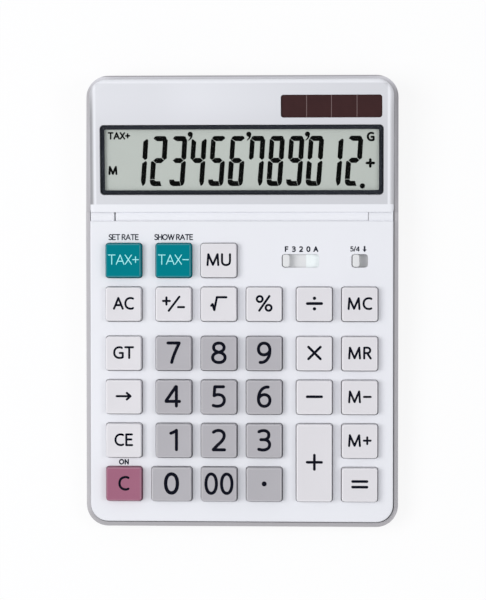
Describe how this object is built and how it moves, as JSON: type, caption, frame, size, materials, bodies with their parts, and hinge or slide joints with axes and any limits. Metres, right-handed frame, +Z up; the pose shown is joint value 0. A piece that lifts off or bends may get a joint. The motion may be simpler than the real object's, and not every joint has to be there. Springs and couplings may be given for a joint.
{
  "type": "desktop calculator",
  "caption": "Desktop calculator: wedge-shaped tray case, sloping keyboard with travelling key caps and two slide selectors, and a hinged display head with a solar cell.",
  "frame": {"origin": "middle of the footprint, on the table under the feet", "axes": "+Z up, +Y to the rear edge behind the display, +X to the right for someone at the keys"},
  "size_m": [0.129, 0.1864, 0.0224],
  "materials": {
    "white_shell": "fine satin",
    "grey_case": "fine satin",
    "key_white": "satin",
    "key_grey": "satin",
    "key_teal": "satin",
    "key_pink": "satin",
    "mat_rubber": "matte silicone",
    "foot_rubber": "matte",
    "board_green": "solder mask",
    "window_black": "polished acrylic",
    "display_grey": "polarising film",
    "solar_brown": "glassy",
    "steel": "brushed",
    "ribbon_amber": "film"
  },
  "bodies": {
    "body": {"bottom_case": "grey_case", "top_cover": "white_shell", "rubber_key_mat": "mat_rubber", "main_board": "board_green", "battery_cell": "steel", "battery_contact_plus": "steel", "battery_contact_minus": "steel", "hinge_pin_left": "steel", "hinge_pin_right": "steel", "foot_front_left": "foot_rubber", "foot_front_right": "foot_rubber", "foot_rear_left": "foot_rubber", "foot_rear_right": "foot_rubber", "case_screw_front_left": "steel", "case_screw_front_right": "steel", "case_screw_rear_left": "steel", "case_screw_rear_right": "steel"},
    "display_head": {"display_front_cover": "white_shell", "display_rear_cover": "grey_case", "display_window": "window_black", "display_glass": "display_grey", "display_board": "board_green", "zebra_connector": "foot_rubber", "solar_cell": "solar_brown", "display_ribbon": "ribbon_amber"},
    "decimal_selector": {"decimal_selector": "key_white"},
    "rounding_selector": {"rounding_selector": "key_white"},
    "battery_door": {"battery_door": "grey_case"},
    "key_tax_plus": {"key_tax_plus": "key_teal"},
    "key_tax_minus": {"key_tax_minus": "key_teal"},
    "key_mark_up": {"key_mark_up": "key_white"},
    "key_clear_all": {"key_clear_all": "key_white"},
    "key_sign_change": {"key_sign_change": "key_white"},
    "key_square_root": {"key_square_root": "key_white"},
    "key_percent": {"key_percent": "key_white"},
    "key_divide": {"key_divide": "key_white"},
    "key_memory_clear": {"key_memory_clear": "key_white"},
    "key_grand_total": {"key_grand_total": "key_white"},
    "key_7": {"key_7": "key_grey"},
    "key_8": {"key_8": "key_grey"},
    "key_9": {"key_9": "key_grey"},
    "key_multiply": {"key_multiply": "key_white"},
    "key_memory_recall": {"key_memory_recall": "key_white"},
    "key_backspace": {"key_backspace": "key_white"},
    "key_4": {"key_4": "key_grey"},
    "key_5": {"key_5": "key_grey"},
    "key_6": {"key_6": "key_grey"},
    "key_minus": {"key_minus": "key_white"},
    "key_memory_minus": {"key_memory_minus": "key_white"},
    "key_clear_entry": {"key_clear_entry": "key_white"},
    "key_1": {"key_1": "key_grey"},
    "key_2": {"key_2": "key_grey"},
    "key_3": {"key_3": "key_grey"},
    "key_plus": {"key_plus": "key_white"},
    "key_memory_plus": {"key_memory_plus": "key_white"},
    "key_on_clear": {"key_on_clear": "key_pink"},
    "key_0": {"key_0": "key_grey"},
    "key_00": {"key_00": "key_grey"},
    "key_decimal_point": {"key_decimal_point": "key_grey"},
    "key_equals": {"key_equals": "key_white"}
  },
  "joints": [
    {"name": "display_tilt", "type": "hinge", "parent": "body", "child": "display_head", "pos_m": [0, 0.035, 0.01081], "axis": [1, 0, 0], "range_deg": [0, 28]},
    {"name": "decimal_slide", "type": "slide", "parent": "body", "child": "decimal_selector", "axis": [1, 0, 0], "range_m": [0, 0.0119]},
    {"name": "rounding_slide", "type": "slide", "parent": "body", "child": "rounding_selector", "axis": [1, 0, 0], "range_m": [0, 0.0033]},
    {"name": "battery_door_swing", "type": "hinge", "parent": "body", "child": "battery_door", "pos_m": [0, 0.09015, 0.001], "axis": [1, 0, 0], "range_deg": [0, 75]},
    {"name": "key_tax_plus_press", "type": "slide", "parent": "body", "child": "key_tax_plus", "axis": [0, 0.0436, -0.999], "range_m": [0, 0.0015], "stiffness_N_per_m": 400, "deforming": ["rubber_key_mat"]},
    {"name": "key_tax_minus_press", "type": "slide", "parent": "body", "child": "key_tax_minus", "axis": [0, 0.0436, -0.999], "range_m": [0, 0.0015], "stiffness_N_per_m": 400, "deforming": ["rubber_key_mat"]},
    {"name": "key_mark_up_press", "type": "slide", "parent": "body", "child": "key_mark_up", "axis": [0, 0.0436, -0.999], "range_m": [0, 0.0015], "stiffness_N_per_m": 400, "deforming": ["rubber_key_mat"]},
    {"name": "key_clear_all_press", "type": "slide", "parent": "body", "child": "key_clear_all", "axis": [0, 0.0436, -0.999], "range_m": [0, 0.0015], "stiffness_N_per_m": 400, "deforming": ["rubber_key_mat"]},
    {"name": "key_sign_change_press", "type": "slide", "parent": "body", "child": "key_sign_change", "axis": [0, 0.0436, -0.999], "range_m": [0, 0.0015], "stiffness_N_per_m": 400, "deforming": ["rubber_key_mat"]},
    {"name": "key_square_root_press", "type": "slide", "parent": "body", "child": "key_square_root", "axis": [0, 0.0436, -0.999], "range_m": [0, 0.0015], "stiffness_N_per_m": 400, "deforming": ["rubber_key_mat"]},
    {"name": "key_percent_press", "type": "slide", "parent": "body", "child": "key_percent", "axis": [0, 0.0436, -0.999], "range_m": [0, 0.0015], "stiffness_N_per_m": 400, "deforming": ["rubber_key_mat"]},
    {"name": "key_divide_press", "type": "slide", "parent": "body", "child": "key_divide", "axis": [0, 0.0436, -0.999], "range_m": [0, 0.0015], "stiffness_N_per_m": 400, "deforming": ["rubber_key_mat"]},
    {"name": "key_memory_clear_press", "type": "slide", "parent": "body", "child": "key_memory_clear", "axis": [0, 0.0436, -0.999], "range_m": [0, 0.0015], "stiffness_N_per_m": 400, "deforming": ["rubber_key_mat"]},
    {"name": "key_grand_total_press", "type": "slide", "parent": "body", "child": "key_grand_total", "axis": [0, 0.0436, -0.999], "range_m": [0, 0.0015], "stiffness_N_per_m": 400, "deforming": ["rubber_key_mat"]},
    {"name": "key_7_press", "type": "slide", "parent": "body", "child": "key_7", "axis": [0, 0.0436, -0.999], "range_m": [0, 0.0015], "stiffness_N_per_m": 400, "deforming": ["rubber_key_mat"]},
    {"name": "key_8_press", "type": "slide", "parent": "body", "child": "key_8", "axis": [0, 0.0436, -0.999], "range_m": [0, 0.0015], "stiffness_N_per_m": 400, "deforming": ["rubber_key_mat"]},
    {"name": "key_9_press", "type": "slide", "parent": "body", "child": "key_9", "axis": [0, 0.0436, -0.999], "range_m": [0, 0.0015], "stiffness_N_per_m": 400, "deforming": ["rubber_key_mat"]},
    {"name": "key_multiply_press", "type": "slide", "parent": "body", "child": "key_multiply", "axis": [0, 0.0436, -0.999], "range_m": [0, 0.0015], "stiffness_N_per_m": 400, "deforming": ["rubber_key_mat"]},
    {"name": "key_memory_recall_press", "type": "slide", "parent": "body", "child": "key_memory_recall", "axis": [0, 0.0436, -0.999], "range_m": [0, 0.0015], "stiffness_N_per_m": 400, "deforming": ["rubber_key_mat"]},
    {"name": "key_backspace_press", "type": "slide", "parent": "body", "child": "key_backspace", "axis": [0, 0.0436, -0.999], "range_m": [0, 0.0015], "stiffness_N_per_m": 400, "deforming": ["rubber_key_mat"]},
    {"name": "key_4_press", "type": "slide", "parent": "body", "child": "key_4", "axis": [0, 0.0436, -0.999], "range_m": [0, 0.0015], "stiffness_N_per_m": 400, "deforming": ["rubber_key_mat"]},
    {"name": "key_5_press", "type": "slide", "parent": "body", "child": "key_5", "axis": [0, 0.0436, -0.999], "range_m": [0, 0.0015], "stiffness_N_per_m": 400, "deforming": ["rubber_key_mat"]},
    {"name": "key_6_press", "type": "slide", "parent": "body", "child": "key_6", "axis": [0, 0.0436, -0.999], "range_m": [0, 0.0015], "stiffness_N_per_m": 400, "deforming": ["rubber_key_mat"]},
    {"name": "key_minus_press", "type": "slide", "parent": "body", "child": "key_minus", "axis": [0, 0.0436, -0.999], "range_m": [0, 0.0015], "stiffness_N_per_m": 400, "deforming": ["rubber_key_mat"]},
    {"name": "key_memory_minus_press", "type": "slide", "parent": "body", "child": "key_memory_minus", "axis": [0, 0.0436, -0.999], "range_m": [0, 0.0015], "stiffness_N_per_m": 400, "deforming": ["rubber_key_mat"]},
    {"name": "key_clear_entry_press", "type": "slide", "parent": "body", "child": "key_clear_entry", "axis": [0, 0.0436, -0.999], "range_m": [0, 0.0015], "stiffness_N_per_m": 400, "deforming": ["rubber_key_mat"]},
    {"name": "key_1_press", "type": "slide", "parent": "body", "child": "key_1", "axis": [0, 0.0436, -0.999], "range_m": [0, 0.0015], "stiffness_N_per_m": 400, "deforming": ["rubber_key_mat"]},
    {"name": "key_2_press", "type": "slide", "parent": "body", "child": "key_2", "axis": [0, 0.0436, -0.999], "range_m": [0, 0.0015], "stiffness_N_per_m": 400, "deforming": ["rubber_key_mat"]},
    {"name": "key_3_press", "type": "slide", "parent": "body", "child": "key_3", "axis": [0, 0.0436, -0.999], "range_m": [0, 0.0015], "stiffness_N_per_m": 400, "deforming": ["rubber_key_mat"]},
    {"name": "key_plus_press", "type": "slide", "parent": "body", "child": "key_plus", "axis": [0, 0.0436, -0.999], "range_m": [0, 0.0015], "stiffness_N_per_m": 400, "deforming": ["rubber_key_mat"]},
    {"name": "key_memory_plus_press", "type": "slide", "parent": "body", "child": "key_memory_plus", "axis": [0, 0.0436, -0.999], "range_m": [0, 0.0015], "stiffness_N_per_m": 400, "deforming": ["rubber_key_mat"]},
    {"name": "key_on_clear_press", "type": "slide", "parent": "body", "child": "key_on_clear", "axis": [0, 0.0436, -0.999], "range_m": [0, 0.0015], "stiffness_N_per_m": 400, "deforming": ["rubber_key_mat"]},
    {"name": "key_0_press", "type": "slide", "parent": "body", "child": "key_0", "axis": [0, 0.0436, -0.999], "range_m": [0, 0.0015], "stiffness_N_per_m": 400, "deforming": ["rubber_key_mat"]},
    {"name": "key_00_press", "type": "slide", "parent": "body", "child": "key_00", "axis": [0, 0.0436, -0.999], "range_m": [0, 0.0015], "stiffness_N_per_m": 400, "deforming": ["rubber_key_mat"]},
    {"name": "key_decimal_point_press", "type": "slide", "parent": "body", "child": "key_decimal_point", "axis": [0, 0.0436, -0.999], "range_m": [0, 0.0015], "stiffness_N_per_m": 400, "deforming": ["rubber_key_mat"]},
    {"name": "key_equals_press", "type": "slide", "parent": "body", "child": "key_equals", "axis": [0, 0.0436, -0.999], "range_m": [0, 0.0015], "stiffness_N_per_m": 400, "deforming": ["rubber_key_mat"]}
  ]
}
